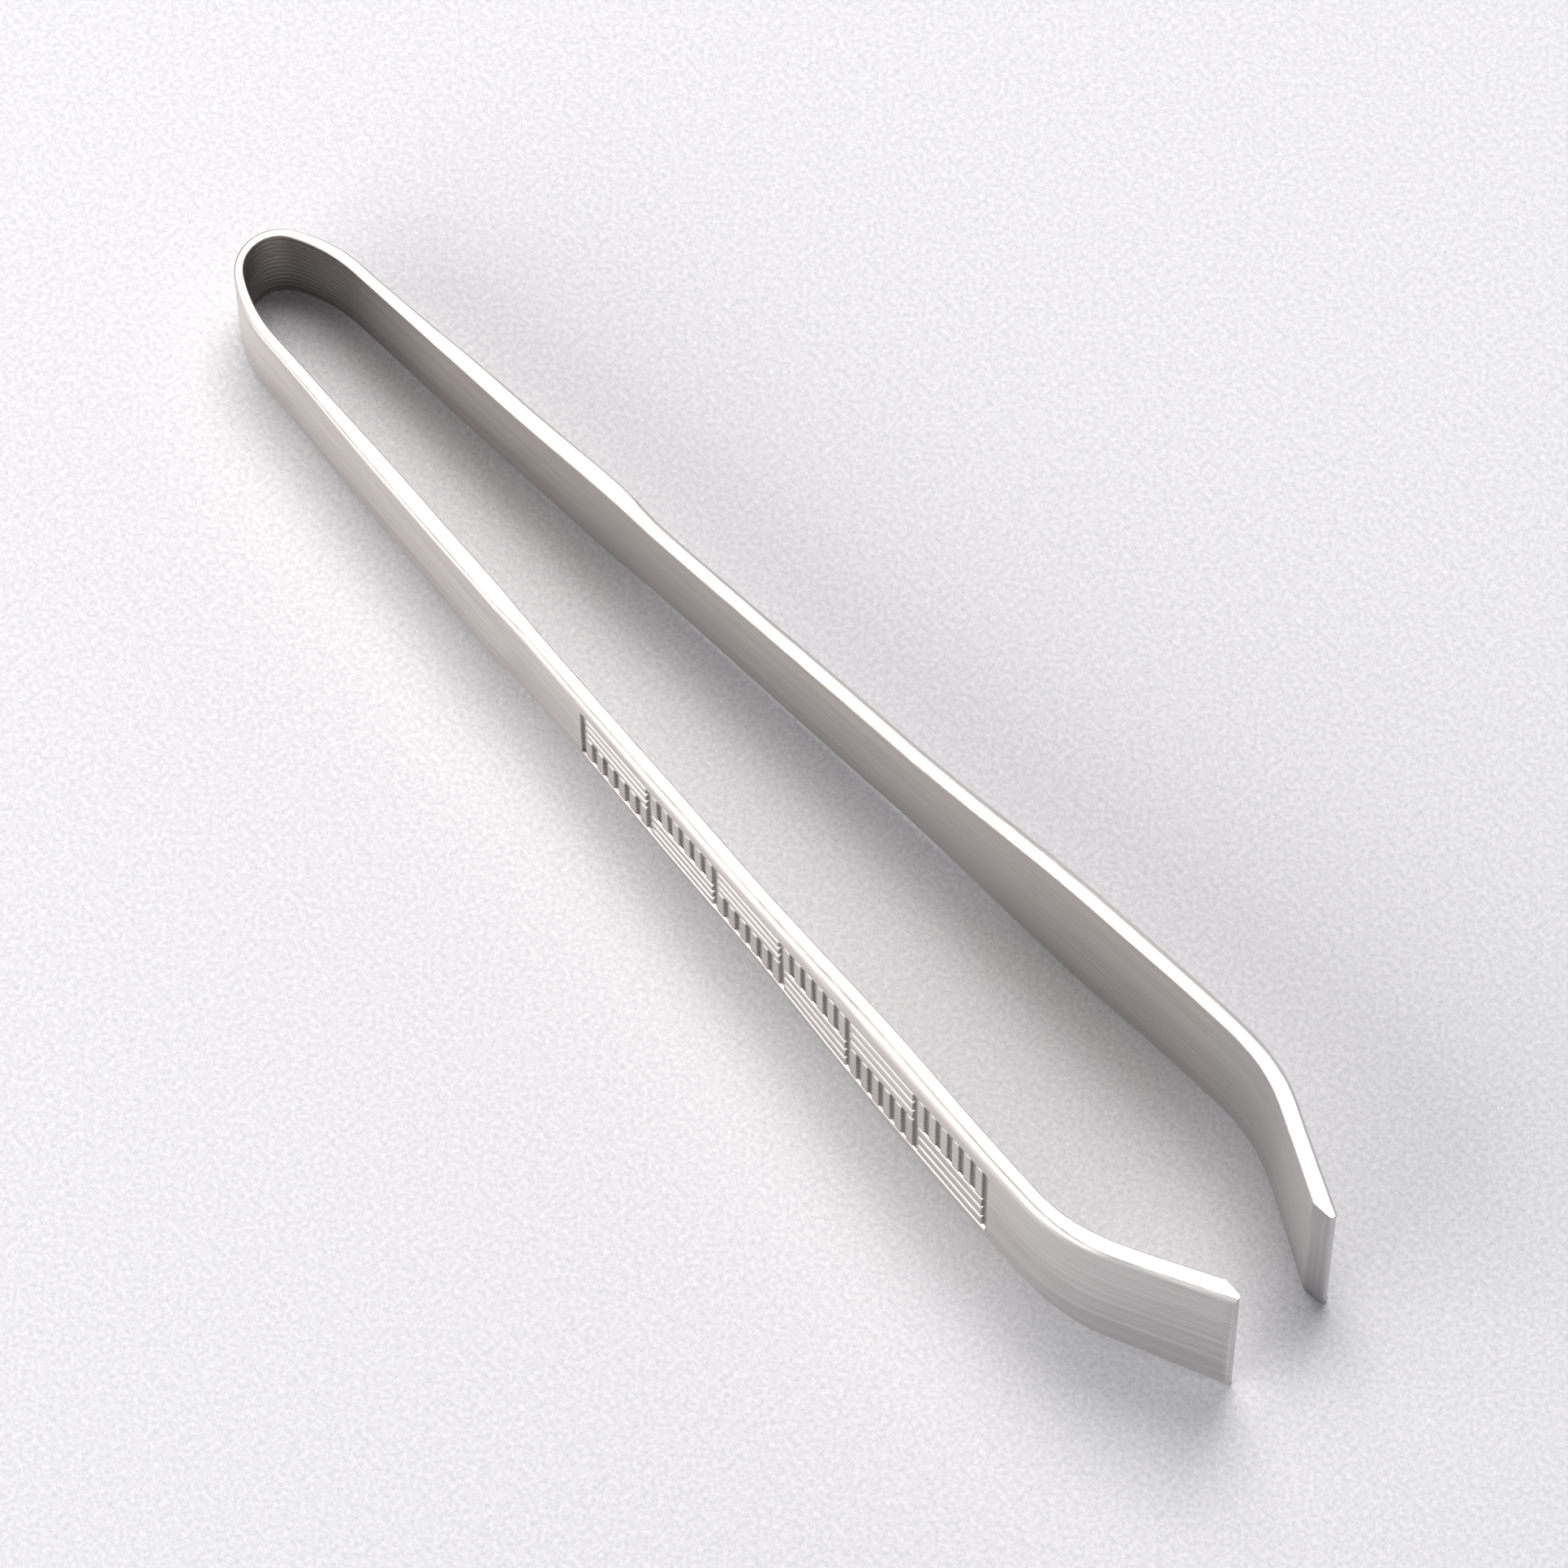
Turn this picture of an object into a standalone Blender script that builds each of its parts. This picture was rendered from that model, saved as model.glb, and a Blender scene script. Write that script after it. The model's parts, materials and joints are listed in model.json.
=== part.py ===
"""Print tongs for lifting wet prints out of darkroom trays.

The real tongs are one strip of springy stainless steel.  It is bent into a bow
at the back, its two arms splay forwards, and each arm ends in a broad jaw that
turns in to meet the other.  The outside of each arm carries a pressed grip
pattern.  Here the strip is divided where it flexes: the bow, two shanks, two
grips and two jaws.

Metres, +Z up.  +X runs from the bow to the jaws, +Y is the left arm, and the
strip stands on edge, so its width runs up and down.
"""

import math
from collections import namedtuple

import bmesh
import bpy
from mathutils import Matrix, Vector

MM = 0.001

# Plan of the left arm's inner face, leg by leg from the middle of the bow.
CROWN_RADIUS = 5.2 * MM
CROWN_TURN = math.radians(60)
SHOULDER_RADIUS = 22.4 * MM
REAR_SPLAY = math.radians(2.72)
REAR_LENGTH = 28.8 * MM
SET_RADIUS = 200 * MM
ARM_SPLAY = math.radians(3.65)
SHANK_LENGTH = 24 * MM
HANDLE_LENGTH = 103 * MM
LEAD_RADIUS = 340 * MM
LEAD_SPLAY = math.radians(1.46)
BEND_RADIUS = 28 * MM
JAW_ANGLE = math.radians(26.3)

# The ground end of each jaw.
TIP_HALF_GAP = 8.25 * MM
TIP_LAND = 3.6 * MM
TIP_ROUND = 0.6 * MM

# Where the strip is divided, and the gap left between neighbouring lengths.
BOW_HALF_LENGTH = 10.5 * MM
PIECE_GAP = 0.3 * MM

# Share of each arm's closing turn that happens at the bow, where the strip is
# thinnest and the squeeze has the longest lever; the rest is at the step.
BOW_FLEX_SHARE = 0.8
CLOSED_GAP = 0.3 * MM

# Grip pattern: two rows of cells that swap lines and bars, like basket weave,
# with a line along the foot, the split and the top of the rows.
CELLS = 6
BARS_PER_CELL = 5
LINES_PER_CELL = 2
GRIP_START_MARGIN = 17.8 * MM
GRIP_END_MARGIN = 8.0 * MM
GRIP_EDGE_MARGIN = 1.4 * MM
BAR_WIDTH = 0.9 * MM
LINE_WIDTH = 0.7 * MM
GROOVE_DEPTH = 0.5 * MM

# How finely curves and tapers are stepped.
MAX_TURN = math.radians(6.5)
MAX_STEP = 6 * MM
CORNER_STEPS = 3

Section = namedtuple("Section", "width thickness corner_depth corner_height")
Leg = namedtuple("Leg", "length curvature")


def section(width, thickness, corner_depth, corner_height):
    """A cross-section of the strip, given in millimetres.

    The corners on the outer side are quarter ellipses of the given depth, into
    the thickness, and height, along the width.
    """
    return Section(width * MM, thickness * MM, corner_depth * MM, corner_height * MM)


CROWN = section(16.6, 1.25, 0.3, 0.3)
SHOULDER = section(16.5, 1.8, 0.45, 0.5)
REAR = section(17.4, 2.7, 0.6, 0.65)
SHANK_END = section(18.7, 2.8, 0.6, 0.65)
WAIST = section(17.6, 2.45, 0.9, 1.25)
HANDLE = section(19.8, 2.7, 1.2, 1.7)
PALM = section(26.9, 3.05, 1.5, 2.7)
KNEE = section(27.3, 2.95, 1.4, 2.5)
JAW_ROOT = section(28.9, 2.7, 0.6, 0.9)
TIP = section(32.0, 2.75, 0.5, 0.7)

# The step between shank and handle, and the flare from handle to palm.
STEP_LENGTH = 9 * MM
PALM_TO_KNEE = 26 * MM
FLARE_LENGTH = 40 * MM


def straight(length):
    """A leg that keeps its heading."""
    return Leg(length, 0.0)


def arc(radius, start, end):
    """A leg that turns from one heading to another."""
    length = radius * abs(end - start)
    return Leg(length, (end - start) / length)


def jaw_run():
    """Length of the jaw's straight run, long enough for the tip to be cut from."""
    heading = math.pi / 2
    y = 0.0
    for leg in ARM_LEGS:
        turned = heading + leg.length * leg.curvature
        if leg.curvature:
            y += (math.cos(heading) - math.cos(turned)) / leg.curvature
        else:
            y += leg.length * math.sin(heading)
        heading = turned
    spare = TIP_LAND + TIP.thickness + PIECE_GAP
    return (y - TIP_HALF_GAP) / math.sin(JAW_ANGLE) + spare / math.cos(JAW_ANGLE)


ARM_LEGS = [
    arc(CROWN_RADIUS, math.pi / 2, math.pi / 2 - CROWN_TURN),
    arc(SHOULDER_RADIUS, math.pi / 2 - CROWN_TURN, REAR_SPLAY),
    straight(REAR_LENGTH),
    arc(SET_RADIUS, REAR_SPLAY, ARM_SPLAY),
    straight(SHANK_LENGTH),
    straight(HANDLE_LENGTH),
    arc(LEAD_RADIUS, ARM_SPLAY, LEAD_SPLAY),
    arc(BEND_RADIUS, LEAD_SPLAY, -JAW_ANGLE),
]
LEGS = ARM_LEGS + [straight(jaw_run())]


def leg_end(count):
    """Distance from the middle of the bow to the end of the leg of that number."""
    return sum(leg.length for leg in LEGS[:count])


SHOULDER_END = leg_end(2)
SET_END = leg_end(4)
STEP_AT = leg_end(5)
KNEE_AT = leg_end(7)
JAW_AT = leg_end(8)
TIP_AT = leg_end(9)
GRIP_START = STEP_AT + GRIP_START_MARGIN
GRIP_END = KNEE_AT - GRIP_END_MARGIN
CELL_LENGTH = (GRIP_END - GRIP_START) / CELLS

SECTION_STOPS = [
    (0.0, CROWN),
    (SHOULDER_END, SHOULDER),
    (SET_END, REAR),
    (STEP_AT - STEP_LENGTH / 2, SHANK_END),
    (STEP_AT + STEP_LENGTH / 2, WAIST),
    (KNEE_AT - PALM_TO_KNEE - FLARE_LENGTH, HANDLE),
    (KNEE_AT - PALM_TO_KNEE, PALM),
    (KNEE_AT, KNEE),
    (JAW_AT, JAW_ROOT),
    (TIP_AT, TIP),
]


def section_at(distance):
    """The strip's cross-section, eased from one named section to the next."""
    distance = min(abs(distance), TIP_AT)
    for (near, first), (far, second) in zip(SECTION_STOPS, SECTION_STOPS[1:]):
        if distance <= far:
            share = (distance - near) / (far - near)
            ease = share * share * (3 - 2 * share)
            return Section(*(a + (b - a) * ease for a, b in zip(first, second)))
    return TIP


def plan_at(distance):
    """Point and heading of the inner face, a signed distance from the bow's middle.

    Positive distances run along the left arm and negative ones along the right.
    """
    x, y, heading = 0.0, 0.0, math.pi / 2
    left = abs(distance)
    for leg in LEGS:
        step = min(left, leg.length)
        turned = heading + step * leg.curvature
        if leg.curvature:
            x += (math.sin(turned) - math.sin(heading)) / leg.curvature
            y += (math.cos(heading) - math.cos(turned)) / leg.curvature
        else:
            x += step * math.cos(heading)
            y += step * math.sin(heading)
        heading = turned
        left -= step
    side = math.copysign(1.0, distance)
    return Vector((x, side * y, 0.0)), side * heading


def outward(distance):
    """Direction that points away from the tongs' inside at a place on the strip."""
    side = math.copysign(1.0, distance)
    heading = plan_at(distance)[1]
    return Vector((-side * math.sin(heading), side * math.cos(heading), 0.0))


def outer_point(distance):
    """Point of the outer face at mid-width."""
    return plan_at(distance)[0] + outward(distance) * section_at(distance).thickness


def section_outline(shape):
    """Points of a section as (out, up): square inside, eased corners outside."""
    half = shape.width / 2
    points = [(0.0, -half)]
    for side in (-1, 1):
        for step in range(CORNER_STEPS + 1):
            turn = math.pi / 2 * step / CORNER_STEPS
            if side > 0:
                turn = math.pi / 2 - turn
            out = shape.thickness - shape.corner_depth * (1 - math.sin(turn))
            up = half - shape.corner_height * (1 - math.cos(turn))
            points.append((out, side * up))
    points.append((0.0, half))
    return points


def ring_places(start, end):
    """Distances at which rings are set between two ends of a length of strip."""
    marks = {start, end}
    for count in range(1, len(LEGS)):
        marks.update(side * leg_end(count) for side in (-1, 1))
    marks.update(side * stop for side in (-1, 1) for stop, _ in SECTION_STOPS)
    marks = sorted(mark for mark in marks if start <= mark <= end)
    places = [marks[0]]
    for near, far in zip(marks, marks[1:]):
        if far - near < PIECE_GAP:
            continue
        turn = abs(plan_at(far)[1] - plan_at(near)[1])
        if near < 0 < far or near == 0 or far == 0:
            turn = min(turn, abs(math.pi - turn))
        steps = math.ceil(max((far - near) / MAX_STEP, turn / MAX_TURN, 1))
        places += [near + (far - near) * step / steps for step in range(1, steps + 1)]
    places[-1] = end
    return places


def set_ring(vertices, distance):
    """Move one ring of vertices onto the strip's section at a distance."""
    base = plan_at(distance)[0]
    out = outward(distance)
    for vertex, (depth, up) in zip(vertices, section_outline(section_at(distance))):
        vertex.co = base + out * depth + Vector((0.0, 0.0, up))


def fill_open_ends(mesh):
    """Close every open end of a shell."""
    rim = [edge for edge in mesh.edges if edge.is_boundary]
    bmesh.ops.holes_fill(mesh, edges=rim, sides=0)


def swept_strip(start, end):
    """A length of the strip, swept ring by ring between two distances."""
    mesh = bmesh.new()
    count = len(section_outline(CROWN))
    ring = bmesh.ops.create_circle(mesh, segments=count, radius=CROWN.thickness)["verts"]
    places = ring_places(start, end)
    set_ring(ring, places[0])
    edges = list(mesh.edges)
    for place in places[1:]:
        grown = bmesh.ops.extrude_edge_only(mesh, edges=edges)["geom"]
        partner = {}
        for edge in edges:
            for old in edge.verts:
                for link in old.link_edges:
                    other = link.other_vert(old)
                    if other in grown:
                        partner[old] = other
        ring = [partner[vertex] for vertex in ring]
        edges = [item for item in grown if isinstance(item, bmesh.types.BMEdge)]
        edges = [edge for edge in edges if all(vertex in ring for vertex in edge.verts)]
        set_ring(ring, place)
    fill_open_ends(mesh)
    return mesh


def tip_corner():
    """Inner corner of the left jaw's ground end."""
    run = (plan_at(JAW_AT)[0].y - TIP_HALF_GAP) / math.sin(JAW_ANGLE)
    return plan_at(JAW_AT + run)[0]


def closing_turn():
    """How far one arm turns in all before the ground ends meet."""
    reach = tip_corner().x
    bow_lever = reach - middle_of_strip(BOW_HALF_LENGTH).x
    step_lever = reach - middle_of_strip(STEP_AT).x
    lever = BOW_FLEX_SHARE * bow_lever + (1 - BOW_FLEX_SHARE) * step_lever
    return (TIP_HALF_GAP - CLOSED_GAP / 2) / lever


def cut_tip(mesh, side):
    """Grind the jaw's end: a land that meets the other jaw, and a blunt nose."""
    corner = tip_corner() * Vector((1.0, side, 1.0))
    close = closing_turn()
    land = Vector((math.sin(close), -side * math.cos(close), 0.0))
    nose = corner + Vector((TIP_LAND, 0.0, 0.0))
    for point, normal in ((corner, land), (nose, Vector((1.0, 0.0, 0.0)))):
        bmesh.ops.bisect_plane(
            mesh,
            geom=mesh.verts[:] + mesh.edges[:] + mesh.faces[:],
            dist=1e-7,
            plane_co=point,
            plane_no=normal,
            clear_outer=True,
        )
        fill_open_ends(mesh)
    ends = [
        edge
        for edge in mesh.edges
        if abs(edge.verts[0].co.z - edge.verts[1].co.z) > TIP.width / 2
        and any((edge.verts[0].co - place).xy.length < TIP.thickness for place in (corner, nose))
    ]
    bmesh.ops.bevel(
        mesh,
        geom=ends,
        offset=TIP_ROUND,
        offset_type="OFFSET",
        segments=2,
        profile=0.5,
        affect="EDGES",
        material=-1,
    )
    bmesh.ops.remove_doubles(mesh, verts=mesh.verts, dist=1e-6)


def steel(name, colour, roughness):
    """A stainless steel finish."""
    material = bpy.data.materials.new(name)
    material.use_nodes = True
    shader = material.node_tree.nodes["Principled BSDF"]
    shader.inputs["Base Color"].default_value = (*colour, 1.0)
    shader.inputs["Metallic"].default_value = 1.0
    shader.inputs["Roughness"].default_value = roughness
    material.diffuse_color = (*colour, 1.0)
    return material


def add_piece(name, mesh, parent, material):
    """Turn a finished bmesh into a named object."""
    bmesh.ops.recalc_face_normals(mesh, faces=mesh.faces)
    data = bpy.data.meshes.new(name)
    mesh.to_mesh(data)
    mesh.free()
    data.shade_smooth()
    data.set_sharp_from_angle(angle=math.radians(30))
    data.materials.append(material)
    piece = bpy.data.objects.new(name, data)
    bpy.context.scene.collection.objects.link(piece)
    piece.parent = parent
    piece.matrix_parent_inverse = parent.matrix_world.inverted()
    return piece


def add_axis(name, location, parent):
    """An empty that carries the pieces which turn about it."""
    axis = bpy.data.objects.new(name, None)
    axis.empty_display_size = 10 * MM
    bpy.context.scene.collection.objects.link(axis)
    axis.location = location
    axis.parent = parent
    if parent:
        axis.matrix_parent_inverse = parent.matrix_world.inverted()
    bpy.context.view_layer.update()
    return axis


def middle_of_strip(distance):
    """Point halfway through the strip's thickness."""
    return (plan_at(distance)[0] + outer_point(distance)) / 2


def groove_block(mesh, first, last, height):
    """A groove cutter on the outer face, from one end point to the other."""
    along = (last - first).normalized()
    out = along.cross(Vector((0.0, 0.0, 1.0))).normalized()
    face = Matrix((along, out, out.cross(along))).transposed().to_4x4()
    size = Matrix.Diagonal(((last - first).length, 2 * GROOVE_DEPTH, height, 1.0))
    place = Matrix.Translation((first + last) / 2) @ face @ size
    bmesh.ops.create_cube(mesh, size=1.0, matrix=place)


def groove_end(side, distance, height):
    """A point of the outer face, where a groove starts or ends."""
    return outer_point(side * distance) + Vector((0.0, 0.0, height))


def row_edges(distance):
    """Heights of the pattern's lower edge, the split between its rows, and its top."""
    shape = section_at(distance)
    top = shape.width / 2 - shape.corner_height - GRIP_EDGE_MARGIN
    return -top, 0.0, top


def add_bar(mesh, side, distance, lower, upper):
    """A groove that runs up the outer face between two of the row edges."""
    edges = row_edges(distance)
    middle = (edges[lower] + edges[upper]) / 2
    ends = [groove_end(side, distance + shift * BAR_WIDTH, middle) for shift in (-0.5, 0.5)]
    groove_block(mesh, *ends, edges[upper] - edges[lower])


def band_cutters(side):
    """The grooves across both rows, between one cell and the next."""
    mesh = bmesh.new()
    for cell in range(CELLS + 1):
        add_bar(mesh, side, GRIP_START + cell * CELL_LENGTH, 0, 2)
    return mesh


def bar_cutters(side):
    """Short grooves across the rows: lower row in even cells, upper row in odd."""
    mesh = bmesh.new()
    for cell in range(CELLS):
        lower = cell % 2
        for bar in range(1, BARS_PER_CELL + 1):
            place = GRIP_START + (cell + bar / (BARS_PER_CELL + 1)) * CELL_LENGTH
            add_bar(mesh, side, place, lower, lower + 1)
    return mesh


def line_cutters(side):
    """Grooves along the arm, each a cell long and ending inside a band.

    Every cell has one along each row edge.  Between them are more lines, in the
    upper row of even cells and the lower row of odd ones.
    """
    mesh = bmesh.new()
    for cell in range(CELLS):
        places = [GRIP_START + (cell + share) * CELL_LENGTH for share in (0, 1)]
        heights = [row_edges(place) for place in places]
        lower = 1 - cell % 2
        shares = [(edge, 0.0) for edge in range(3)]
        shares += [(lower, (line + 1) / (LINES_PER_CELL + 1)) for line in range(LINES_PER_CELL)]
        for edge, share in shares:
            ends = []
            for place, edges, inset in zip(places, heights, (0.25, -0.25)):
                height = edges[edge]
                if share:
                    height += share * (edges[edge + 1] - edges[edge])
                ends.append(groove_end(side, place + inset * BAR_WIDTH, height))
            groove_block(mesh, *ends, LINE_WIDTH)
    return mesh


def cut_grip(grip, name, side, parent, material):
    """Press the pattern into the outer face of one grip."""
    makers = {"bands": band_cutters, "bars": bar_cutters, "lines": line_cutters}
    for label, maker in makers.items():
        cutter = add_piece(f"{name}_{label}", maker(side), parent, material)
        cutter.hide_render = True
        cutter.display_type = "WIRE"
        cut = grip.modifiers.new(label, "BOOLEAN")
        cut.operation = "DIFFERENCE"
        cut.solver = "EXACT"
        cut.object = cutter


def build_arm(label, side, frame):
    """One arm: a shank that turns on the bow, and a grip and jaw that turn on it."""
    gap = PIECE_GAP / 2
    spans = {
        "shank": (BOW_HALF_LENGTH + gap, STEP_AT - gap),
        "grip": (STEP_AT + gap, KNEE_AT - gap),
        "jaw": (KNEE_AT + gap, TIP_AT),
    }
    finishes = {
        "shank": steel(f"{label}_shank", (0.62, 0.6, 0.58), 0.32),
        "grip": steel(f"{label}_grip", (0.64, 0.62, 0.6), 0.3),
        "jaw": steel(f"{label}_jaw", (0.6, 0.6, 0.59), 0.34),
    }
    shank_axis = add_axis(f"{label}_shank_axis", middle_of_strip(side * BOW_HALF_LENGTH), frame)
    grip_axis = add_axis(f"{label}_grip_axis", middle_of_strip(side * STEP_AT), shank_axis)
    for part, (start, end) in spans.items():
        if side < 0:
            start, end = -end, -start
        mesh = swept_strip(start, end)
        if part == "jaw":
            cut_tip(mesh, side)
        parent = shank_axis if part == "shank" else grip_axis
        piece = add_piece(f"{label}_{part}", mesh, parent, finishes[part])
        if part == "grip":
            cut_grip(piece, f"{label}_grip", side, grip_axis, finishes[part])


def rest_tilt():
    """Angle that brings the lower edges of bow and jaws down onto one surface."""
    back = -CROWN.thickness
    steepest = 0.0
    for place in ring_places(SET_END, TIP_AT):
        drop = (section_at(place).width - CROWN.width) / 2
        steepest = max(steepest, math.atan2(drop, plan_at(place)[0].x - back))
    return steepest


def stand_on_origin(frame):
    """Lay the tongs down and put the middle of their footprint on the origin."""
    frame.rotation_euler = (0.0, -rest_tilt(), 0.0)
    bpy.context.view_layer.update()
    corners = [
        piece.matrix_world @ vertex.co
        for piece in bpy.context.scene.objects
        if piece.type == "MESH" and not piece.hide_render
        for vertex in piece.data.vertices
    ]
    low = Vector(min(corner[axis] for corner in corners) for axis in range(3))
    high = Vector(max(corner[axis] for corner in corners) for axis in range(3))
    frame.location = (-(low.x + high.x) / 2, -(low.y + high.y) / 2, -low.z)
    bpy.context.view_layer.update()


def build():
    """Model the tongs in the strip's own frame, then lay them down."""
    frame = add_axis("tongs_frame", (0.0, 0.0, 0.0), None)
    bow = swept_strip(-BOW_HALF_LENGTH + PIECE_GAP / 2, BOW_HALF_LENGTH - PIECE_GAP / 2)
    add_piece("spring_bow", bow, frame, steel("spring_bow", (0.58, 0.56, 0.54), 0.36))
    build_arm("left", 1, frame)
    build_arm("right", -1, frame)
    stand_on_origin(frame)


for old in list(bpy.data.objects):
    bpy.data.objects.remove(old, do_unlink=True)
build()
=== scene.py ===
"""Looks of a pair of print tongs, bent from one strip of sprung stainless steel.

The tongs lie on edge on pale paper.  The strip is made here without gaps, in
lengths that meet end to end.
"""

import json
import math

import bmesh
import bpy
from mathutils import Matrix, Vector


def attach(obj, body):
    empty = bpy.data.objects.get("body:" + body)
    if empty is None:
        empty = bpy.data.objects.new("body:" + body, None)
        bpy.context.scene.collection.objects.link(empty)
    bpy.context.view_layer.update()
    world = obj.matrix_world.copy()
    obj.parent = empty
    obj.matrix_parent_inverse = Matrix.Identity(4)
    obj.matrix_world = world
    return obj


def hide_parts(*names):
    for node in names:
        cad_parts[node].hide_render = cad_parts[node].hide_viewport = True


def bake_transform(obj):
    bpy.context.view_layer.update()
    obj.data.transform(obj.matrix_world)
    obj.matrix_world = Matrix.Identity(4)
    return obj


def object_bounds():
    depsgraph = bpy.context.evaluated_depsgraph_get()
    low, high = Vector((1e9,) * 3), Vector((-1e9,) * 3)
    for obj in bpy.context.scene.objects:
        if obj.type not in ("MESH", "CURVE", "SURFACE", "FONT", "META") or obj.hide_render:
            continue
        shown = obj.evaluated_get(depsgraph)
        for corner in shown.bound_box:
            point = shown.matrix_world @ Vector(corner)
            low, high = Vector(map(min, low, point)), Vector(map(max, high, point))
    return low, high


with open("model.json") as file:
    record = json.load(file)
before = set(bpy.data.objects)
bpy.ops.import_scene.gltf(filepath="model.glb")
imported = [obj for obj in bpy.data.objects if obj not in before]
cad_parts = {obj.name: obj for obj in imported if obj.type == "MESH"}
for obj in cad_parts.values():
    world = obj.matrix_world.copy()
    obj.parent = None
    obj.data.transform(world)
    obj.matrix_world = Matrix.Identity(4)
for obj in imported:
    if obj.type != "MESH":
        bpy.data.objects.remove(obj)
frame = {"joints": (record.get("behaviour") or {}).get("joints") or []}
cad_low, cad_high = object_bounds()


# Camera: a long lens that looks steeply down over the right arm, turned so
# that the tongs lie from the top left of the picture to the bottom right.
SWING, HEIGHT, ROLL = math.radians(45.67), math.radians(66.81), math.radians(2.5)
DISTANCE = 1.3643
aim = (cad_low + cad_high) / 2 + Vector((0.0044, 0.0014, -0.0028))
backward = Vector(
    (
        math.sin(SWING) * math.cos(HEIGHT),
        -math.cos(SWING) * math.cos(HEIGHT),
        math.sin(HEIGHT),
    )
)
level = Vector((math.cos(SWING), math.sin(SWING), 0.0))
rise = backward.cross(level)
rightward = level * math.cos(ROLL) + rise * math.sin(ROLL)
upward = rise * math.cos(ROLL) - level * math.sin(ROLL)

camera = bpy.data.objects.new("camera", bpy.data.cameras.new("camera"))
camera.data.sensor_width = 36
camera.data.lens = 223.6
camera.data.clip_start = 0.05
camera.matrix_world = Matrix.Translation(aim + backward * DISTANCE) @ (
    Matrix((rightward, upward, backward)).transposed().to_4x4()
)
bpy.context.scene.collection.objects.link(camera)
bpy.context.scene.camera = camera


# Spring: the bow and both shanks, where the rolled stainless strip is thinnest
# and bends in use.  It is formed on edge round a small mandrel and brushed along
# its length.  Inside the bow the lines left by rolling show, and painted shade
# darkens the inner face there.
KNEE = math.radians(26.3)
PALM_HEADING = math.radians(1.46)
REAR_LENGTH, STEP_DISTANCE, HANDLE_LENGTH, JAW_LENGTH = 0.0288, 0.024, 0.103, 0.03


def arc(radius, turn):
    """A bent leg, as its length and its turn, which is below 0 towards the other arm."""
    return radius * abs(turn), turn


# The strip's legs from the middle of the bow, each as a length and a turn.  All
# distances run along the inner face of the left arm from that middle.
LEGS = [
    arc(0.0052, -math.radians(60)),
    arc(0.0224, -math.radians(27.28)),
    (REAR_LENGTH, 0.0),
    arc(0.2, math.radians(0.93)),
    (STEP_DISTANCE + HANDLE_LENGTH, 0.0),
    arc(0.34, -math.radians(2.19)),
    arc(0.028, -KNEE - PALM_HEADING),
    (JAW_LENGTH, 0.0),
]
ENDS = [sum(length for length, _ in LEGS[: count + 1]) for count in range(len(LEGS))]
CROWN_END, SHOULDER_END, SET_END = ENDS[0], ENDS[1], ENDS[3]
KNEE_START, JAW_START = ENDS[5], ENDS[6]
STEP = SET_END + STEP_DISTANCE
ARM_START = 0.058
TIP_END = 0.22392
BOW_HINGE = 0.0105
BOW_BEND = (0.004, 0.032)

# Width, thickness, and the depth and height of the rounded outer corners.
STATIONS = [
    (0.0, (0.0166, 0.00125, 0.0003, 0.0003)),
    (SHOULDER_END, (0.0165, 0.0018, 0.00045, 0.0005)),
    (SET_END, (0.0174, 0.0027, 0.0006, 0.00065)),
    (STEP - 0.0045, (0.0187, 0.0028, 0.0006, 0.00065)),
    (STEP + 0.0045, (0.0176, 0.00245, 0.0009, 0.00125)),
    (KNEE_START - 0.066, (0.0198, 0.0027, 0.0012, 0.0017)),
    (KNEE_START - 0.026, (0.0269, 0.00305, 0.0015, 0.0027)),
    (KNEE_START, (0.0273, 0.00294, 0.0014, 0.0025)),
    (JAW_START, (0.0289, 0.0027, 0.0006, 0.0009)),
    (TIP_END, (0.0319, 0.00275, 0.0005, 0.0007)),
]
# The broken edge along the inner face, and the flats round an outer corner.
INNER_BREAK = 0.00012
CORNER_STEPS = 7


def ease(share):
    """Smooth step from 0 to 1."""
    share = min(max(share, 0.0), 1.0)
    return share * share * (3 - 2 * share)


def size_at(distance):
    """Width, thickness, corner depth and corner height of the strip."""
    for (near, first), (far, second) in zip(STATIONS, STATIONS[1:]):
        if distance <= far:
            share = ease((distance - near) / (far - near))
            return [a + (b - a) * share for a, b in zip(first, second)]
    return STATIONS[-1][1]


def plan_at(distance):
    """Point of the left arm's inner face in plan, and its heading there."""
    x, y, heading = 0.0, 0.0, math.pi / 2
    for length, turn in LEGS:
        step = min(distance, length)
        if turn:
            after = heading + turn * step / length
            radius = length / turn
            x += radius * (math.sin(after) - math.sin(heading))
            y += radius * (math.cos(heading) - math.cos(after))
            heading = after
        else:
            x += step * math.cos(heading)
            y += step * math.sin(heading)
        distance -= step
        if distance <= 0:
            break
    return Vector((x, y, 0.0)), heading


def on_strip(distance, out, up):
    """A point of the left arm, out from the inner face and up from mid-width."""
    base, heading = plan_at(distance)
    return base + Vector((-math.sin(heading) * out, math.cos(heading) * out, up))


# The strip's own frame: its width leans back a little from upright, because
# the tongs rest on the lower edges of the bow and of the broader jaws.  The
# hinge of the left arm at the bow gives its place and its lean.
bow_joint = next(j for j in frame["joints"] if j["name"] == "left_bow_flex")
lean = -Vector(bow_joint["axis"])
turned = Matrix((lean.cross(Vector((0, 1, 0))) * -1, Vector((0, 1, 0)), lean)).transposed()
pivot = on_strip(BOW_HINGE, size_at(BOW_HINGE)[1] / 2, 0.0)
strip_frame = (
    Matrix.Translation(Vector(bow_joint["pos_m"]) - turned @ pivot) @ turned.to_4x4()
)


def inner_point(distance, side):
    """A point on the middle line of an arm's inner face, where the arm lies."""
    return strip_frame @ (on_strip(distance, 0, 0) * Vector((1, side, 1)))


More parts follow.
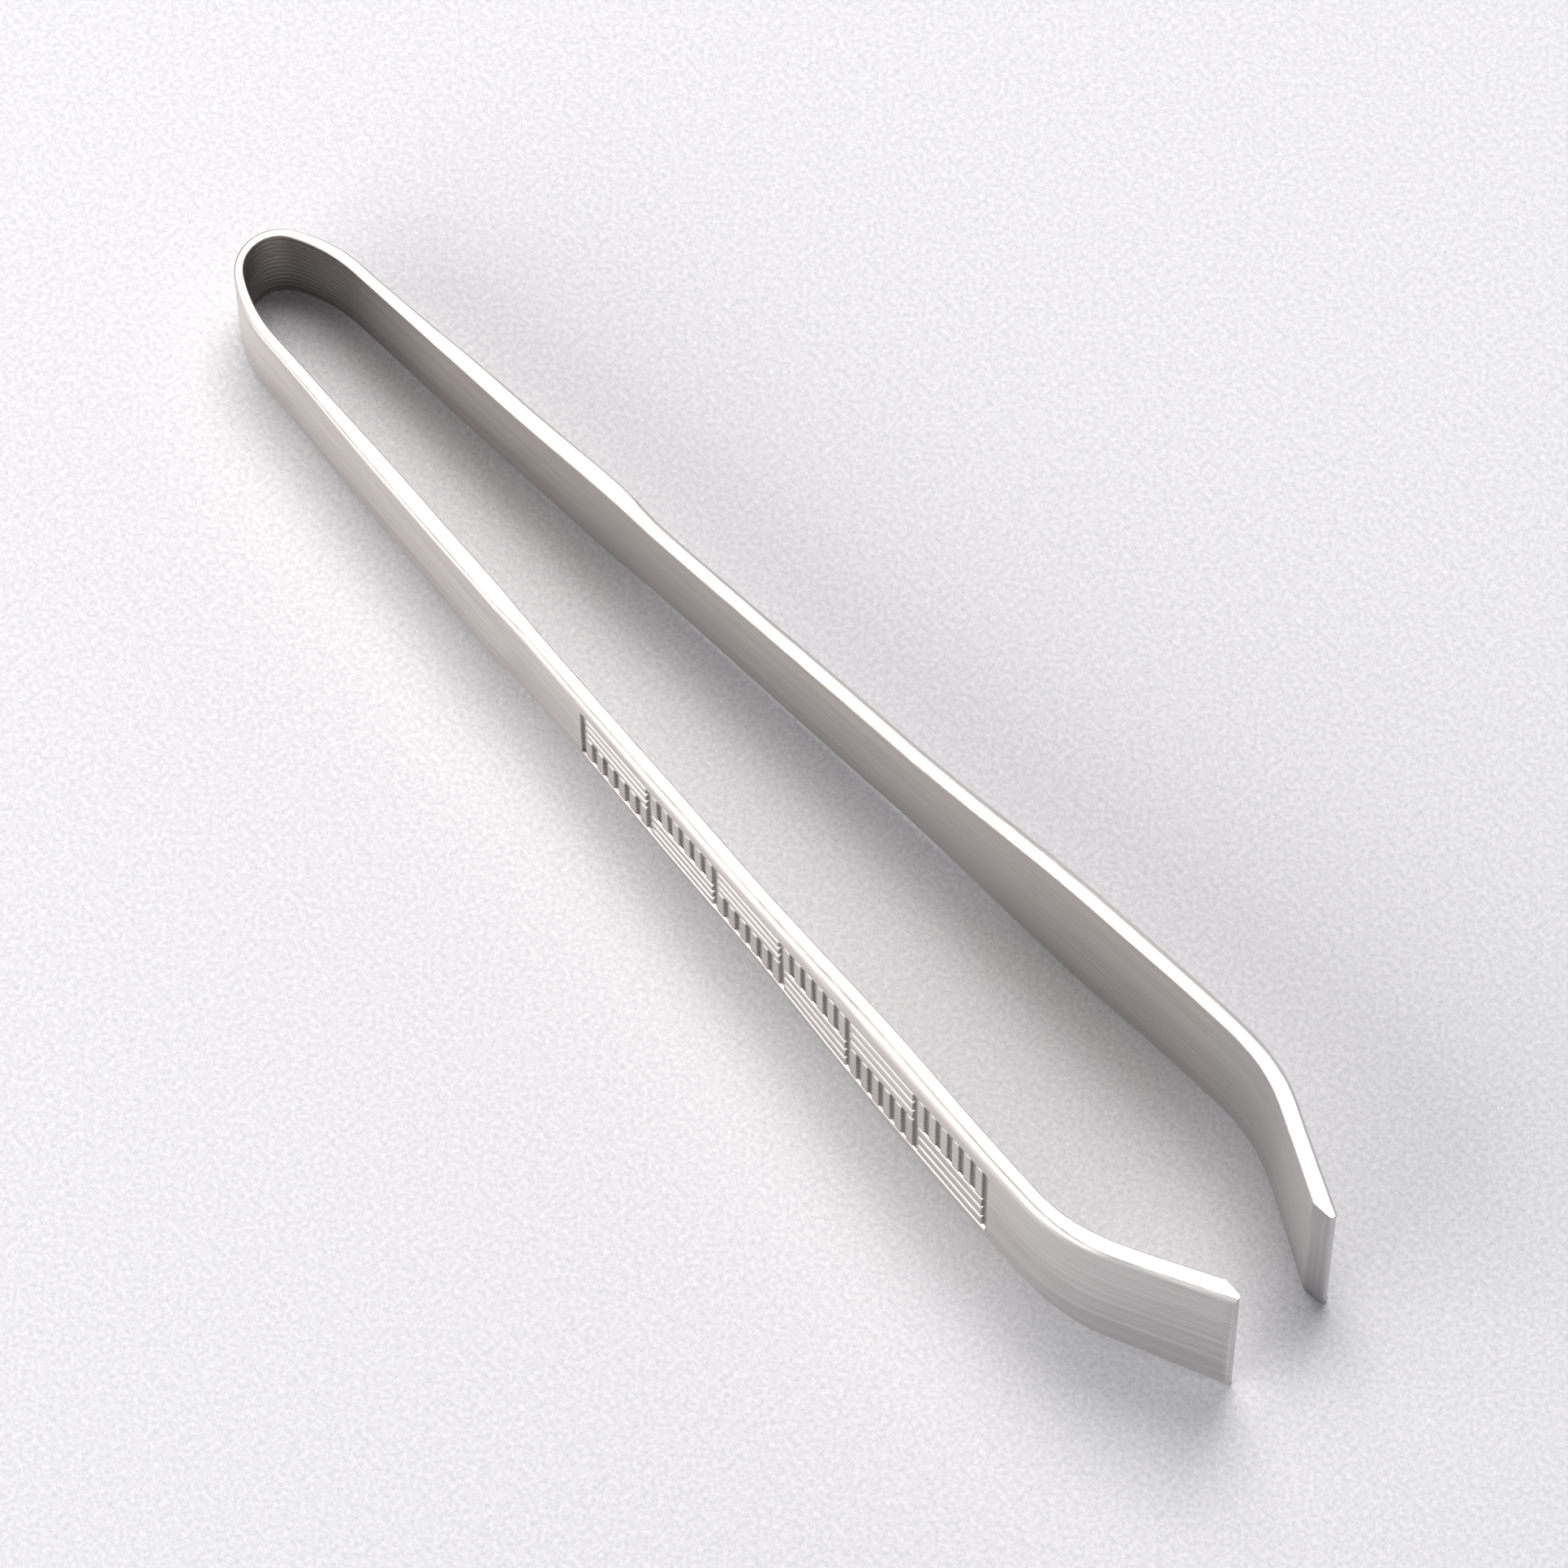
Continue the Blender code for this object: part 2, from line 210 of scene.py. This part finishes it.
def corner_points(shape):
    """The rounded lower outer corner, as (out, up) points from below."""
    width, thickness, depth, tall = shape
    turns = [math.pi / 2 * step / CORNER_STEPS for step in range(CORNER_STEPS + 1)]
    return [
        (thickness - depth * (1 - math.sin(turn)), -width / 2 + tall * (1 - math.cos(turn)))
        for turn in turns
    ]


def outline(shape, rows=()):
    """Points round a section, from the inner face's foot, outwards and up.

    Extra rows on the outer face are (out, up) points, and support points beside
    every corner keep the flats flat.
    """
    half = shape[0] / 2
    corner = corner_points(shape)
    support = 2 * INNER_BREAK
    lower = [
        (0.0, support - half),
        (0.0, INNER_BREAK - half),
        (INNER_BREAK, -half),
        (support, -half),
        (corner[0][0] - INNER_BREAK, -half),
        *corner,
        (corner[-1][0], corner[-1][1] + INNER_BREAK),
    ]
    upper = [(out, -up) for out, up in reversed(lower)]
    return [(0.0, 0.0), *lower, *rows, *upper, (0.0, 0.0)]


def sweep_strip(places, ring_at):
    """A closed length of strip through rings of (along, out, up, painted shade) points."""
    mesh = bmesh.new()
    grain = mesh.verts.layers.float_vector.new("grain")
    painted_shade = mesh.verts.layers.float.new("painted_shade")
    rings = [ring_at(place) for place in places]
    around = len(rings[0])
    bmesh.ops.create_grid(
        mesh, x_segments=len(rings) - 1, y_segments=around - 1, size=0.5
    )
    for vertex in mesh.verts:
        ring = rings[round((vertex.co.x + 0.5) * (len(rings) - 1))]
        along, out, up, depth = ring[round((vertex.co.y + 0.5) * (around - 1))]
        vertex.co = on_strip(along, out, up)
        vertex[grain] = Vector((along, out, up))
        # The fourth value of each point is its share of painted shade.
        vertex[painted_shade] = depth
    bmesh.ops.remove_doubles(mesh, verts=mesh.verts, dist=1e-7)
    rims = [edge for edge in mesh.edges if edge.is_boundary]
    bmesh.ops.holes_fill(mesh, edges=rims, sides=0)
    return mesh


def steps_between(start, end, step):
    """Evenly spread places from one end to the other, about a step apart."""
    count = max(1, math.ceil((end - start) / step))
    return [start + (end - start) * index / count for index in range(count + 1)]


def add_strip(name, mesh, side, material):
    """Lay a finished left-hand length down on its side of the tongs."""
    if side < 0:
        grain = mesh.verts.layers.float_vector["grain"]
        for vertex in mesh.verts:
            vertex[grain] = Vector((-1, 1, 1)) * vertex[grain]
        bmesh.ops.scale(mesh, vec=(1, -1, 1), verts=mesh.verts)
    bmesh.ops.transform(mesh, matrix=strip_frame, verts=mesh.verts)
    bmesh.ops.recalc_face_normals(mesh, faces=mesh.faces)
    data = bpy.data.meshes.new(name)
    mesh.to_mesh(data)
    mesh.free()
    data.shade_smooth()
    data.set_sharp_from_angle(angle=math.radians(50))
    data.materials.append(material)
    piece = bpy.data.objects.new(name, data)
    bpy.context.scene.collection.objects.link(piece)
    return piece


def brushed_steel(name, tone, polish, ground=False):
    """Satin stainless steel, brushed along the strip or ground across its end.

    The tone is its colour and the polish its roughness.  The grain attribute
    holds the distances along, through and across the strip, and another attribute
    holds each point's share of painted shade, which darkens the colour.
    """
    material = bpy.data.materials.new(name)
    material.use_nodes = True
    nodes, links = material.node_tree.nodes, material.node_tree.links
    shader = nodes["Principled BSDF"]
    shader.inputs["Metallic"].default_value = 1.0
    material.diffuse_color = (*tone, 1.0)
    grain = nodes.new("ShaderNodeAttribute")
    grain.attribute_name = "grain"

    def noise(scales, detail):
        """Noise with its own scale along, through and across the strip."""
        stretch = nodes.new("ShaderNodeMapping")
        stretch.inputs["Scale"].default_value = scales
        links.new(grain.outputs["Vector"], stretch.inputs["Vector"])
        texture = nodes.new("ShaderNodeTexNoise")
        texture.inputs["Scale"].default_value = 1.0
        texture.inputs["Detail"].default_value = detail
        links.new(stretch.outputs["Vector"], texture.inputs["Vector"])
        return texture.outputs["Fac"]

    def ramp(source, low, high):
        """Carry a noise's middle range onto another range."""
        spread = nodes.new("ShaderNodeMapRange")
        spread.inputs["From Min"].default_value = 0.3
        spread.inputs["From Max"].default_value = 0.7
        spread.inputs["To Min"].default_value = low
        spread.inputs["To Max"].default_value = high
        links.new(source, spread.inputs["Value"])
        return spread.outputs["Result"]

    def combine(operation, first, second):
        """Join two values."""
        maths = nodes.new("ShaderNodeMath")
        maths.operation = operation
        links.new(first, maths.inputs[0])
        links.new(second, maths.inputs[1])
        return maths.outputs["Value"]

    def lay(slow, fine):
        """Scales of a streak that runs with the brushing or the grinding."""
        return (fine, fine, slow) if ground else (slow, fine, fine)

    scratches = noise(lay(45, 9000), 3.0)
    strokes = noise(lay(14, 2000), 3.0)
    handling = noise((90, 150, 150), 3.0)
    painted_shade = nodes.new("ShaderNodeAttribute")
    painted_shade.attribute_name = "painted_shade"

    # Lines left by rolling, drawn only where painted shade is laid: inside the bow and in the
    # bottoms of the bars.
    rolled = nodes.new("ShaderNodeTexWave")
    rolled.bands_direction = "Z"
    rolled.inputs["Scale"].default_value = 260
    rolled.inputs["Distortion"].default_value = 1.2
    rolled.inputs["Detail Scale"].default_value = 0.4
    links.new(grain.outputs["Vector"], rolled.inputs["Vector"])
    rolled_lines = combine("MULTIPLY", rolled.outputs["Fac"], painted_shade.outputs["Fac"])

    colour = nodes.new("ShaderNodeMix")
    colour.data_type = "RGBA"
    colour.inputs["A"].default_value = (*[part * 0.72 for part in tone], 1.0)
    colour.inputs["B"].default_value = (*[min(part * 1.18, 1) for part in tone], 1.0)
    links.new(
        combine("MULTIPLY", ramp(strokes, 0.4, 1.0), ramp(scratches, 0.7, 1.0)),
        colour.inputs["Factor"],
    )
    # Painted shade: the colour is darkened towards a dark grey by each point's share of painted
    # shade, varied by the rolled lines.
    painted_shade_mix = nodes.new("ShaderNodeMix")
    painted_shade_mix.data_type = "RGBA"
    painted_shade_mix.blend_type = "MULTIPLY"
    painted_shade_mix.inputs["B"].default_value = (0.46, 0.455, 0.46, 1.0)
    links.new(colour.outputs["Result"], painted_shade_mix.inputs["A"])
    links.new(
        combine("SUBTRACT", painted_shade.outputs["Fac"], ramp(rolled_lines, -0.2, 0.2)),
        painted_shade_mix.inputs["Factor"],
    )
    links.new(painted_shade_mix.outputs["Result"], shader.inputs["Base Color"])

    rough = combine("ADD", ramp(handling, polish - 0.04, polish + 0.05), ramp(strokes, -0.04, 0.05))
    links.new(rough, shader.inputs["Roughness"])

    relief = combine("ADD", scratches, combine("ADD", strokes, ramp(rolled_lines, 0.0, 1.6)))
    bump = nodes.new("ShaderNodeBump")
    bump.inputs["Strength"].default_value = 1.0
    bump.inputs["Distance"].default_value = 0.00003
    links.new(relief, bump.inputs["Height"])
    links.new(bump.outputs["Normal"], shader.inputs["Normal"])
    return material


spring_steel = brushed_steel("spring_steel", (0.73, 0.68, 0.645), 0.44)
spring_places = steps_between(0.0, CROWN_END, 0.00018)[:-1]
spring_places += steps_between(CROWN_END, SHOULDER_END, 0.0004)[:-1]
spring_places += steps_between(SHOULDER_END, ARM_START, 0.0015)


def plain_ring(place):
    """A ring of plain strip, with painted shade on the inner face near the bow."""
    bow_shade_start, bow_shade_run = 0.008, 0.028
    # Painted shade on the inner face, full in the bow and fading out along the shanks.
    bow_shade = 1 - ease((place - bow_shade_start) / bow_shade_run)
    return [
        (place, out, up, bow_shade if out < INNER_BREAK else 0.0)
        for out, up in outline(size_at(place))
    ]


for label, side in (("left", 1), ("right", -1)):
    spring = add_strip(
        f"{label}_spring", sweep_strip(spring_places, plain_ring), side, spring_steel
    )
    inner_point(BOW_BEND[0], side)
    inner_point(BOW_BEND[1], side)
    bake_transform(spring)
    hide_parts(f"{label}_shank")
    if side > 0:
        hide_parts("spring_bow")


# Handles: the long straight part of each arm, stepped down behind the fingers
# and flared to a broad palm.  A roller presses the grip into its outer face, two
# rows of cells like basket weave, where bars across and lines along take turns.
HANDLE_END = KNEE_START - 0.002
STEP_BEND = (0.062, 0.086)
GRIP_START, GRIP_END = STEP + 0.0178, KNEE_START - 0.008
CELLS, BARS = 6, 6
BAR_PITCH = (GRIP_END - GRIP_START) / (CELLS * BARS)
EDGE_MARGIN = 0.0014
GROOVE_DEPTH = 0.00048
# Half widths of a bar's flat bottom and of its mouth, and of the V-shaped lines:
# full ones inside a lined cell, and finer ones along the edges of the rows.
BAR_GROOVE = (0.00048, 0.0006)
LINE_MOUTH, BORDER_MOUTH = 0.0005, 0.0003

# Heights of the lines, in shares of the pattern's half height, and the rows that
# follow one line's mouth, sides and bottom, in shares of its own half width.
BORDERS = (-1, 0, 1)
LINES = [share / 3 for share in range(-3, 4)]
LINE_ROWS = (-1.12, -0.9, -0.08, 0.0, 0.08, 0.9, 1.12)
ROW_SLACK = 0.0001


def bar_share(away):
    """Share of a bar's depth at a distance from its middle line."""
    bottom, mouth = BAR_GROOVE
    return 1 - ease((abs(away) - bottom) / (mouth - bottom))


def bar_marks():
    """Offsets that follow a bar's flat bottom and its sides."""
    bottom, mouth = BAR_GROOVE
    sides = [bottom + (mouth - bottom) * share for share in (0.0, 0.28, 0.5, 0.72, 1.0)]
    return [-side for side in reversed(sides)] + [0.0] + sides


def line_share(up, top, lined):
    """Share of the full depth that the lines reach at a height."""
    mouth, cut = (LINE_MOUTH, LINES) if lined else (BORDER_MOUTH, BORDERS)
    away = min(abs(up - line * top) for line in cut)
    return max(mouth - away, 0.0) / LINE_MOUTH


def pressed(place, up, top):
    """How deep the pattern is at a place and a height, and its painted shade, 0 to 1.

    The flat bottom of a bar is darkened with painted shade, and the rest keeps
    the steel's own tone.
    """
    if not GRIP_START - BAR_GROOVE[1] <= place <= GRIP_END + BAR_GROOVE[1]:
        return 0.0, 0.0
    nearest = round((place - GRIP_START) / BAR_PITCH)
    bar = bar_share(place - GRIP_START - nearest * BAR_PITCH) * (abs(up) < top)
    cell = min(max(int((place - GRIP_START) / (BARS * BAR_PITCH)), 0), CELLS - 1)
    lined = (up > 0) == (cell % 2 == 0) and 0 < abs(up) < top + ROW_SLACK
    if nearest % BARS and (lined or up == 0):
        bar = 0.0
    line = line_share(up, top, lined) if GRIP_START <= place <= GRIP_END else 0.0
    return max(bar, line), bar


def grip_rows(top):
    """Heights of the outer face's rows, from the foot of the pattern to its top."""
    rows = set()
    for mouth, cut in ((LINE_MOUTH, LINES), (BORDER_MOUTH, BORDERS)):
        for share in LINE_ROWS:
            rows.update(round(line * top + share * mouth, 6) for line in cut)
    return sorted(rows)


def handle_ring(place):
    """A ring of the handle, with the pattern pressed into its outer face."""
    shape = size_at(place)
    top = shape[0] / 2 - shape[3] - EDGE_MARGIN
    marks = {up: pressed(place, up, top) for up in grip_rows(top)}
    rows = [(shape[1] - depth * GROOVE_DEPTH, up) for up, (depth, _) in marks.items()]
    # The second mark, painted shade, darkens the bars' flat bottoms on the outer face.
    return [
        (place, out, up, marks[up][1] if up in marks and out > shape[1] / 2 else 0.0)
        for out, up in outline(shape, rows)
    ]


PLAIN_STEP, PALM_STEP = 0.0012, 0.0008
handle_places = steps_between(ARM_START, GRIP_START - PLAIN_STEP, PLAIN_STEP)
for bar in range(CELLS * BARS + 1):
    middle = GRIP_START + bar * BAR_PITCH
    handle_places += [middle + mark for mark in bar_marks()]
    handle_places.append(middle + BAR_PITCH / 2)
handle_places += steps_between(GRIP_END + 2 * PALM_STEP, HANDLE_END, PALM_STEP)

grip_steel = brushed_steel("grip_steel", (0.73, 0.685, 0.655), 0.44)
for label, side in (("left", 1), ("right", -1)):
    handle = add_strip(
        f"{label}_handle", sweep_strip(handle_places, handle_ring), side, grip_steel
    )
    inner_point(STEP_BEND[0], side)
    inner_point(STEP_BEND[1], side)
    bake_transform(handle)
    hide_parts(f"{label}_grip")


# Jaws: the broad ends, bent in towards each other.  Each is ground across its
# end to a narrow land that meets the other one when the tongs are squeezed,
# and then to a blunt nose, with the burr taken off the edges.
HALF_OPENING = 0.00825
LAND = 0.0036
NOSE_ROUND = 0.0006
CLOSING_TURN = math.radians(2.423)
# Only edges as tall as this, this near to a cut and this sharp are rounded.
TALL, NEAR, SHARP = 0.02, 0.003, math.radians(15)
jaw_run = (plan_at(JAW_START)[0].y - HALF_OPENING) / math.sin(KNEE)
land_corner = plan_at(JAW_START + jaw_run)[0]
CUTS = [
    (land_corner, Vector((math.sin(CLOSING_TURN), -math.cos(CLOSING_TURN), 0))),
    (land_corner + Vector((LAND, 0, 0)), Vector((1, 0, 0))),
]
jaw_places = steps_between(HANDLE_END, JAW_START, 0.0006)[:-1]
jaw_places += steps_between(JAW_START, TIP_END, 0.0011)
jaw_steel = brushed_steel("jaw_steel", (0.71, 0.69, 0.68), 0.44)
ground_steel = brushed_steel("ground_steel", (0.6, 0.585, 0.585), 0.38, ground=True)


def grind_jaw():
    """A left-hand jaw with its land and its end ground, and their edges rounded."""
    mesh = sweep_strip(jaw_places, plain_ring)
    for point, normal in CUTS:
        bmesh.ops.bisect_plane(
            mesh,
            geom=mesh.verts[:] + mesh.edges[:] + mesh.faces[:],
            dist=1e-7,
            plane_co=point,
            plane_no=normal,
            clear_outer=True,
        )
        rims = [edge for edge in mesh.edges if edge.is_boundary]
        for face in bmesh.ops.holes_fill(mesh, edges=rims, sides=0)["faces"]:
            face.material_index = 1
    ground_edges = [
        edge
        for edge in mesh.edges
        if abs(edge.verts[0].co.z - edge.verts[1].co.z) > TALL
        and min((edge.verts[0].co - place).xy.length for place, _ in CUTS) < NEAR
        and edge.calc_face_angle(0) > SHARP
    ]
    bmesh.ops.bevel(
        mesh,
        geom=ground_edges,
        offset=NOSE_ROUND,
        offset_type="OFFSET",
        segments=6,
        profile=0.5,
        affect="EDGES",
        material=-1,
    )
    bmesh.ops.remove_doubles(mesh, verts=mesh.verts, dist=1e-6)
    return mesh


for label, side in (("left", 1), ("right", -1)):
    jaw = add_strip(f"{label}_jaw_plate", grind_jaw(), side, jaw_steel)
    jaw.data.materials.append(ground_steel)
    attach(jaw, f"{label}_grip")
    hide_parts(f"{label}_jaw")


# Paper: the pale matt sheet that the tongs lie on, with the faint mottle of its
# fibres.  It belongs to the setting, and lies a hair below the tongs.
PAPER_DROP = 0.00002
floor_mesh = bmesh.new()
bmesh.ops.create_grid(floor_mesh, x_segments=1, y_segments=1, size=1.5)
bmesh.ops.translate(floor_mesh, vec=(0, 0, cad_low.z - PAPER_DROP), verts=floor_mesh.verts)
floor_data = bpy.data.meshes.new("paper")
floor_mesh.to_mesh(floor_data)
floor_mesh.free()
floor = bpy.data.objects.new("paper", floor_data)
bpy.context.scene.collection.objects.link(floor)

paper = bpy.data.materials.new("paper")
paper.use_nodes = True
paper_nodes, paper_links = paper.node_tree.nodes, paper.node_tree.links
paper_shader = paper_nodes["Principled BSDF"]
paper_shader.inputs["Roughness"].default_value = 0.9
paper_shader.inputs["Specular IOR Level"].default_value = 0.2
paper_place = paper_nodes.new("ShaderNodeTexCoord")
paper_mottle = paper_nodes.new("ShaderNodeTexNoise")
paper_mottle.inputs["Scale"].default_value = 1300
paper_mottle.inputs["Detail"].default_value = 6
paper_mottle.inputs["Roughness"].default_value = 0.75
paper_tones = paper_nodes.new("ShaderNodeMix")
paper_tones.data_type = "RGBA"
paper_tones.inputs["A"].default_value = (0.66, 0.66, 0.69, 1)
paper_tones.inputs["B"].default_value = (0.93, 0.92, 0.94, 1)
paper_links.new(paper_place.outputs["Object"], paper_mottle.inputs["Vector"])
paper_fibres = paper_nodes.new("ShaderNodeMapRange")
paper_fibres.inputs["From Min"].default_value = 0.32
paper_fibres.inputs["From Max"].default_value = 0.66
paper_links.new(paper_mottle.outputs["Fac"], paper_fibres.inputs["Value"])
paper_links.new(paper_fibres.outputs["Result"], paper_tones.inputs["Factor"])
paper_links.new(paper_tones.outputs["Result"], paper_shader.inputs["Base Color"])
floor_data.materials.append(paper)


# Light: a broad soft panel high behind the tongs whitens the strip's upper edges,
# and a weaker one low on the near side runs a bright line along the corners, in
# a room with pale walls and a dim ceiling.
world = bpy.data.worlds.new("room")
bpy.context.scene.world = world
world.use_nodes = True
room_nodes, room_links = world.node_tree.nodes, world.node_tree.links
backdrop = room_nodes["Background"]
backdrop.inputs["Color"].default_value = (0.9, 0.94, 1.0, 1)
room_place = room_nodes.new("ShaderNodeTexCoord")
room_height = room_nodes.new("ShaderNodeSeparateXYZ")
walls = room_nodes.new("ShaderNodeMapRange")
walls.interpolation_type = "SMOOTHSTEP"
walls.inputs["From Min"].default_value = 0.25
walls.inputs["From Max"].default_value = 0.6
walls.inputs["To Min"].default_value = 0.9
walls.inputs["To Max"].default_value = 0.08
room_links.new(room_place.outputs["Generated"], room_height.inputs["Vector"])
room_links.new(room_height.outputs["Z"], walls.inputs["Value"])
room_links.new(walls.outputs["Result"], backdrop.inputs["Strength"])


def soft_panel(name, towards, distance, size, power, colour):
    """A square panel in a direction from the tongs, turned to face them."""
    lamp = bpy.data.lights.new(name, "AREA")
    lamp.shape = "SQUARE"
    lamp.size, lamp.energy, lamp.color = size, power, colour
    panel = bpy.data.objects.new(name, lamp)
    towards = Vector(towards).normalized()
    panel.matrix_world = (
        Matrix.Translation(towards * distance)
        @ towards.to_track_quat("Z", "Y").to_matrix().to_4x4()
    )
    bpy.context.scene.collection.objects.link(panel)


soft_panel("key", (-0.3, 0.3, 0.91), 1.3, 0.7, 13, (1.0, 0.98, 0.96))
soft_panel("near side", (-0.28, -0.86, 0.44), 1.2, 1.15, 10.5, (1.0, 0.98, 0.95))

# Tones are shown as they are, so that white paper comes out white.
bpy.context.scene.view_settings.view_transform = "Standard"
